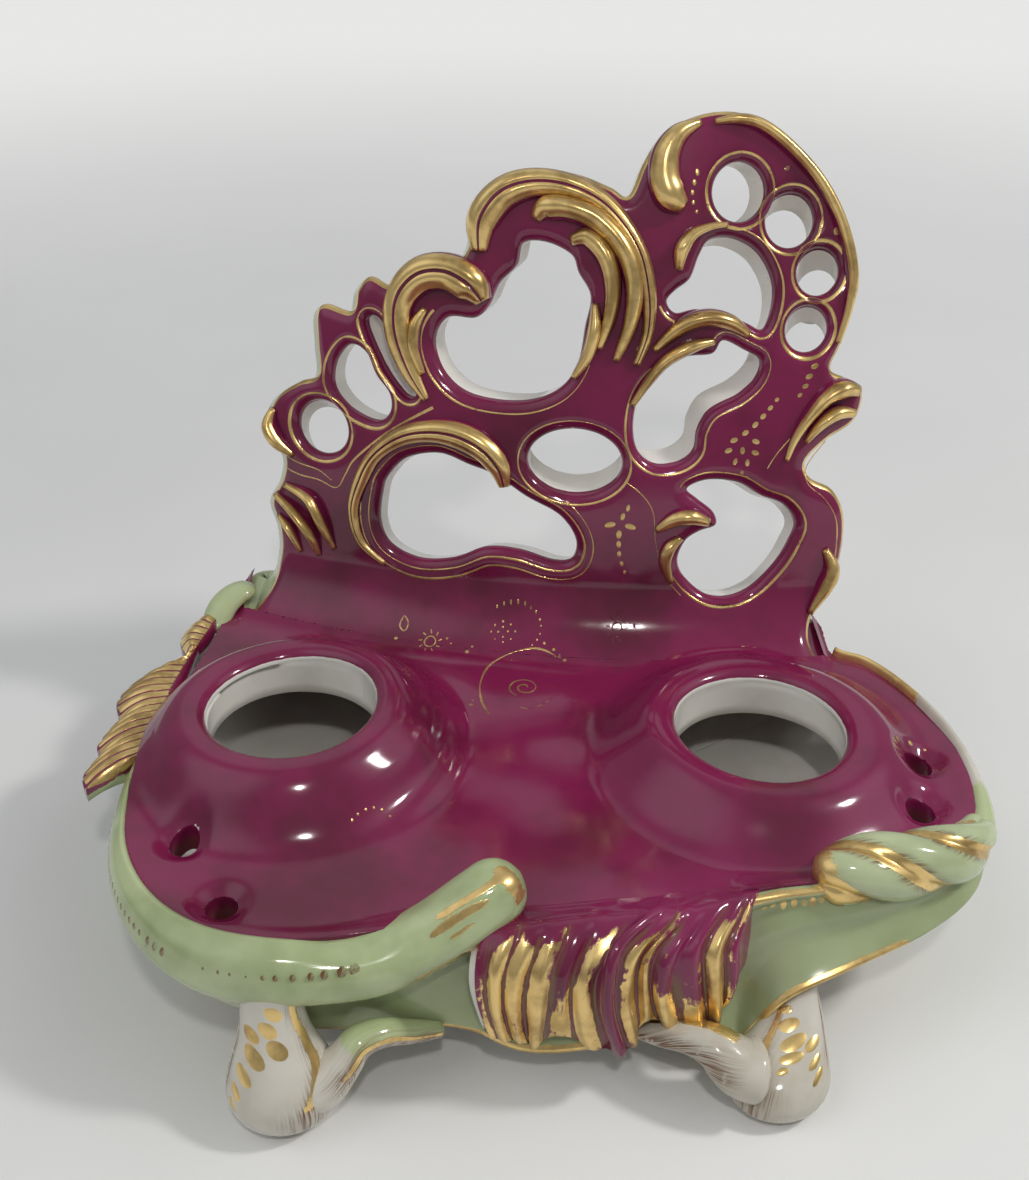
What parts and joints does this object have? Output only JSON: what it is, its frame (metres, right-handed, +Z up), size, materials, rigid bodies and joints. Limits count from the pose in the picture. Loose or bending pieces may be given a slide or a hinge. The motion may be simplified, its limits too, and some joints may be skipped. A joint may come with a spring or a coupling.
{
  "type": "inkstand",
  "caption": "Hollow footed desk inkstand with raised open wells, small quill holes, modelled rims along its deck and a pierced scroll gallery leaning back behind the wells.",
  "frame": {"origin": "on the table, under the middle of the stand's overall box", "axes": "+X to the right along the deck, +Y back from the front edge to the gallery, +Z up"},
  "size_m": [0.2397, 0.2053, 0.1941],
  "materials": {
    "magenta_glaze": "deep magenta glaze, glossy, mottled",
    "green_glaze": "pale green glaze, glossy",
    "gilt": "worn gilding over a glossy magenta and green glaze",
    "white_glaze": "off-white glaze, glossy, lightly stained"
  },
  "bodies": {
    "root": {"deck_plate": "magenta_glaze", "body_shell": "green_glaze", "left_well_boss": "magenta_glaze", "right_well_boss": "magenta_glaze", "gallery": "magenta_glaze", "front_left_foot": "white_glaze", "front_right_foot": "white_glaze", "back_left_foot": "white_glaze", "back_right_foot": "white_glaze", "left_rim": "green_glaze", "left_scroll_head": "green_glaze", "front_shell": "magenta_glaze", "right_panel": "green_glaze", "right_under_rim": "green_glaze", "right_edge_rim": "white_glaze", "right_twist": "green_glaze", "left_fin": "gilt", "left_leaf": "gilt", "left_curl": "green_glaze", "crest_left_scroll": "gilt", "crest_main_scroll": "gilt", "crest_hook": "gilt", "crest_edge_bead": "gilt", "middle_left_scroll": "gilt", "middle_right_scroll": "gilt", "upper_right_curl": "gilt", "lower_right_curl": "gilt", "left_edge_flutes": "gilt", "left_ring_curl": "gilt", "right_edge_scroll": "gilt", "right_edge_leaf": "gilt"}
  },
  "joints": []
}
